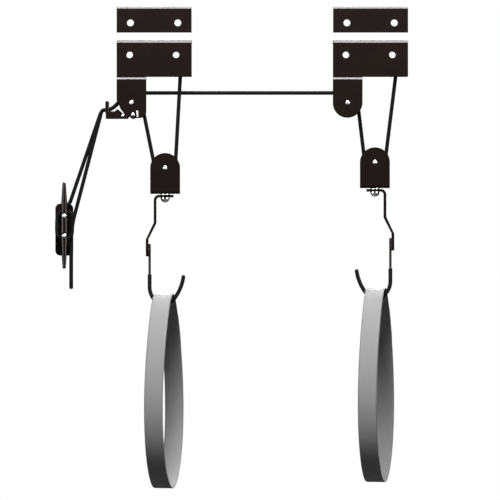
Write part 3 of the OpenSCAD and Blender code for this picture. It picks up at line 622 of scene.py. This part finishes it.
# Textured black powder coat, a little darker in patches where it is thin on the edges
def powderCoat():
    look = Look("powder_coat")
    grain = look.noise(1500, 2.0, 0.5)
    cloud = look.noise(26, 4.0, 0.6)
    patchy = look.ramp(look.noise(220), (0.3, 0.6), (0.6, 1.0))
    worn = look.math("MULTIPLY", look.edge(0.0011), patchy)
    coat = look.mix(look.ramp(cloud, (0.35, 0.0), (0.65, 1.0)), (0.0120, 0.0068, 0.0055, 1),
                    (0.0155, 0.0088, 0.0072, 1))
    colour = look.mix(worn, coat, (0.004, 0.003, 0.003, 1))
    rough = look.ramp(grain, (0.3, 0.18), (0.7, 0.24))
    return look.surface(Base_Color=colour, Roughness=rough, Specular_IOR_Level=0.2,
                        Normal=look.bump(grain, 0.30, 0.00006))


# Bright zinc plate with faint rolling marks and a slight change of tone
def zincPlate():
    look = Look("zinc_plate")
    cloud = look.noise(160, 3.0)
    marks = look.noise(900, 2.0, 0.5, stretch=(1, 1, 6))
    colour = look.mix(cloud, (0.80, 0.81, 0.83, 1), (0.93, 0.93, 0.91, 1))
    return look.surface(Base_Color=colour, Metallic=1.0,
                        Roughness=look.ramp(marks, (0.3, 0.26), (0.7, 0.40)),
                        Normal=look.bump(marks, 0.12, 0.00004))


# Moulded black nylon with a fine matt skin
def blackNylon():
    look = Look("black_nylon")
    skin = look.noise(2600, 2.0)
    cloud = look.noise(70, 3.0)
    colour = look.mix(cloud, (0.033, 0.028, 0.027, 1), (0.052, 0.045, 0.044, 1))
    return look.surface(Base_Color=colour, Roughness=look.ramp(skin, (0.3, 0.38), (0.7, 0.50)),
                        Specular_IOR_Level=0.4, Normal=look.bump(skin, 0.15, 0.00003))


# Black rubber with rubbed, greyer patches
def rubberSleeve():
    look = Look("rubber_sleeve")
    rubbed = look.ramp(look.noise(120, 4.0, 0.6), (0.52, 0.0), (0.72, 1.0))
    colour = look.mix(rubbed, (0.0035, 0.0031, 0.0030, 1), (0.0080, 0.0074, 0.0072, 1))
    skin = look.noise(3000, 2.0)
    return look.surface(Base_Color=colour, Roughness=look.ramp(skin, (0.3, 0.52), (0.7, 0.66)),
                        Specular_IOR_Level=0.07, Normal=look.bump(skin, 0.2, 0.00003))


# Braid of 16 strands: two families of spirals, a = 8u + 7v and b = 8u - 7v, cross over and
# under by turns; a strand's height is |sin(pi a)|, and the upper family shows
def braidedRope():
    look = Look("braided_rope")
    parts = look.node("SeparateXYZ")
    look.put(parts, 0, look.where("UV"))
    across = look.math("MULTIPLY", (parts, 0), 8.0)
    along = look.math("MULTIPLY", (parts, 1), 7.0)
    first, second = look.math("ADD", across, along), look.math("SUBTRACT", across, along)
    ridge = [look.math("ABSOLUTE", look.math("SINE", look.math("MULTIPLY", x, math.pi)))
             for x in (first, second)]
    turn = look.math("ADD", look.math("FLOOR", first), look.math("FLOOR", second))
    upper = look.math("ABSOLUTE", look.math("MODULO", turn, 2.0))
    height = look.math("ADD", look.math("MULTIPLY", ridge[0], upper),
                       look.math("MULTIPLY", ridge[1], look.math("SUBTRACT", 1.0, upper)))
    yarn = look.noise(5200, 2.0)
    full = look.math("ADD", height, look.math("MULTIPLY", yarn, 0.25))
    # Painted shade: the grooves between the strands are coloured darker than the crests,
    # following the braid's height; lighter random flecks go on top
    deep = look.mix(height, (0.0020, 0.0018, 0.0018, 1), (0.0085, 0.0076, 0.0074, 1))
    colour = look.mix(look.ramp(look.noise(900), (0.55, 0.0), (0.75, 0.5)), deep,
                      (0.020, 0.018, 0.0175, 1))
    return look.surface(Base_Color=colour, Roughness=0.72, Specular_IOR_Level=0.04,
                        Normal=look.bump(full, 0.7, 0.00035))


# Woven webbing: ribs along the band every 1.45 mm cross weft picks every 1.1 mm, and a
# denser edge about 1.6 mm wide runs down both sides
weave = {"rib": 0.00145, "pick": 0.0011, "edgeFrom": 0.0140, "edgeTo": 0.0148}


def wovenWebbing():
    look = Look("woven_webbing")
    parts = look.node("SeparateXYZ")
    look.put(parts, 0, look.where("UV"))
    s, v = (parts, 0), (parts, 1)
    column = look.math("MULTIPLY", s, 1 / weave["rib"])
    row = look.math("MULTIPLY", v, 1 / weave["pick"])
    shift = look.math("MULTIPLY", look.math("FLOOR", column), 0.5)
    rib = look.math("ABSOLUTE", look.math("SINE", look.math("MULTIPLY", column, math.pi)))
    pick = look.math("ABSOLUTE", look.math("SINE", look.math("MULTIPLY",
                     look.math("ADD", row, shift), math.pi)))
    height = look.math("MULTIPLY", look.math("POWER", rib, 0.6), look.math("POWER", pick, 0.5))
    edge = look.ramp(look.math("ABSOLUTE", s), (weave["edgeFrom"], 0.0), (weave["edgeTo"], 1.0))
    yarn = look.noise(3800, 3.0, stretch=(1, 1, 0.25))
    cloud = look.noise(18, 4.0, 0.6)
    # Painted shade: the hollows of the weave are coloured darker than its raised ribs and picks,
    # following the weave height; a random cloudy tint goes on top
    base = look.mix(height, (0.215, 0.212, 0.212, 1), (0.47, 0.468, 0.466, 1))
    shaded_and_tinted = look.mix(look.ramp(cloud, (0.3, 0.0), (0.7, 0.25)), base, (0.40, 0.40, 0.41, 1))
    colour = look.mix(look.math("MULTIPLY", edge, 0.3), shaded_and_tinted, (0.17, 0.168, 0.168, 1))
    full = look.math("ADD", height, look.math("MULTIPLY", yarn, 0.3))
    return look.surface(Base_Color=colour, Roughness=0.78, Specular_IOR_Level=0.04,
                        Normal=look.bump(full, 0.55, 0.00028))


# Bonded polyester thread, a shade lighter than the webbing
def sewingThread():
    look = Look("sewing_thread")
    twist = look.noise(6000, 2.0)
    colour = look.mix(twist, (0.33, 0.33, 0.33, 1), (0.56, 0.56, 0.55, 1))
    return look.surface(Base_Color=colour, Roughness=0.6, Specular_IOR_Level=0.3,
                        Normal=look.bump(twist, 0.3, 0.00005))


looks = {
    "powder_black": powderCoat(), "zinc": zincPlate(), "nylon_black": blackNylon(),
    "rubber_sleeve": rubberSleeve(), "rope_black": braidedRope(), "webbing_grey": wovenWebbing(),
}
thread = sewingThread()


def dress():
    for part in frame["record"]["subparts"]:
        piece = frame["nodes"][part["node"]]
        if not piece.material_slots:
            piece.data.materials.append(None)
        for place in piece.material_slots:
            place.material = looks[part["material_slot"]]
    for piece in ropePieces:
        piece.data.materials.append(looks["rope_black"])
    for piece in webPieces:
        piece.data.materials.append(looks["webbing_grey"])
    for piece in threadPieces:
        piece.data.materials.append(thread)
    for piece in weldPieces:
        piece.data.materials.append(looks["powder_black"])


dress()
print("materials made")

# Studio: a softbox from above that shades the webbing from top to bottom, one behind for the
# back, panels that only glint in the folds and rivets, and very little light from all round
studio = {
    "floorDrop": 0.3, "floorSize": 14, "ambient": 0.02, "glossAmbient": 0.03,
    "top": {"energy": 176, "size": 1.0, "angle": 65, "distance": 3.0},
    "rear": {"energy": 110, "size": 1.2, "angle": 35, "turn": 180, "distance": 3.0},
    "glints": {
        "upper": {"energy": 400, "size": 1.5, "angle": 45, "distance": 3.0},
        "over": {"energy": 320, "size": 1.5, "angle": 88, "distance": 3.0},
        "left": {"energy": 60, "size": 1.4, "angle": 5, "turn": -58, "distance": 3.0},
        "right": {"energy": 60, "size": 1.4, "angle": 5, "turn": 58, "distance": 3.0},
        "lower": {"energy": 45, "size": 1.4, "angle": -50, "distance": 2.2},
        "behind": {"energy": 160, "size": 1.5, "angle": 42, "turn": 180, "distance": 3.0},
    },
}


# A square light aimed at the middle of the picture: angle is its height, turn its way round
def panel(name, energy, size, angle, distance, turn=0, onlyGlossy=False):
    data = bpy.data.lights.new(name, "AREA")
    data.energy, data.size = energy, size
    light = bpy.data.objects.new(name, data)
    target = Vector((camera["middle"][0], 0, camera["middle"][1]))
    high, turned = math.radians(angle), math.radians(turn)
    back = Vector((math.sin(turned) * math.cos(high), -math.cos(turned) * math.cos(high),
                   math.sin(high)))
    light.location = target + back * distance
    light.rotation_euler = (-back).to_track_quat("-Z", "Y").to_euler()
    light.visible_camera = False
    light.visible_diffuse = not onlyGlossy
    light.visible_glossy = onlyGlossy
    bpy.context.scene.collection.objects.link(light)


# White wherever the camera looks, dim for everything the object is lit by
def makeWorld():
    world = bpy.data.worlds.new("studio")
    bpy.context.scene.world = world
    world.use_nodes = True
    tree = world.node_tree
    tree.nodes.clear()
    seen = tree.nodes.new("ShaderNodeLightPath")
    direct = tree.nodes.new("ShaderNodeMath")
    direct.operation = "MAXIMUM"
    tree.links.new(seen.outputs["Is Camera Ray"], direct.inputs[0])
    tree.links.new(seen.outputs["Is Transmission Ray"], direct.inputs[1])
    lit = tree.nodes.new("ShaderNodeMix")
    tree.links.new(seen.outputs["Is Glossy Ray"], lit.inputs[0])
    lit.inputs[2].default_value = studio["ambient"]
    lit.inputs[3].default_value = studio["glossAmbient"]
    strength = tree.nodes.new("ShaderNodeMix")
    tree.links.new(direct.outputs[0], strength.inputs[0])
    tree.links.new(lit.outputs[0], strength.inputs[2])
    strength.inputs[3].default_value = 1.0
    background = tree.nodes.new("ShaderNodeBackground")
    background.inputs["Color"].default_value = (1, 1, 1, 1)
    tree.links.new(strength.outputs[0], background.inputs["Strength"])
    out = tree.nodes.new("ShaderNodeOutputWorld")
    tree.links.new(background.outputs[0], out.inputs["Surface"])


# A pale floor that reads as white paper to the camera
def makeFloor():
    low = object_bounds()[0]
    half = studio["floorSize"] / 2
    x, y, z = camera["middle"][0], 0.0, low[2] - studio["floorDrop"]
    corners = [(x - half, y - half, z), (x + half, y - half, z), (x + half, y + half, z),
               (x - half, y + half, z)]
    floor = meshOf("floor", corners, [[0, 1, 2, 3]], np.zeros((4, 2)))
    look = Look("pale_floor")
    look.surface(Base_Color=(0.06, 0.06, 0.06, 1), Roughness=0.9, Specular_IOR_Level=0.0)
    seen = look.node("LightPath")
    paper = look.node("Emission")
    look.put(paper, "Color", (1, 1, 1, 1))
    either = look.math("MAXIMUM", (seen, "Is Camera Ray"), (seen, "Is Transmission Ray"))
    blend = look.node("MixShader")
    look.put(blend, 0, either)
    look.link(look.shader, "BSDF", blend, 1)
    look.link(paper, "Emission", blend, 2)
    look.link(blend, 0, look.out, "Surface")
    floor.data.materials.append(look.material)


def makeStudio():
    panel("top_light", **studio["top"])
    panel("rear_light", **studio["rear"])
    for name, glint in studio["glints"].items():
        panel(f"{name}_glint", onlyGlossy=True, **glint)
    makeWorld()
    makeFloor()
    bpy.context.scene.view_settings.view_transform = "Standard"


makeStudio()
print("studio made")
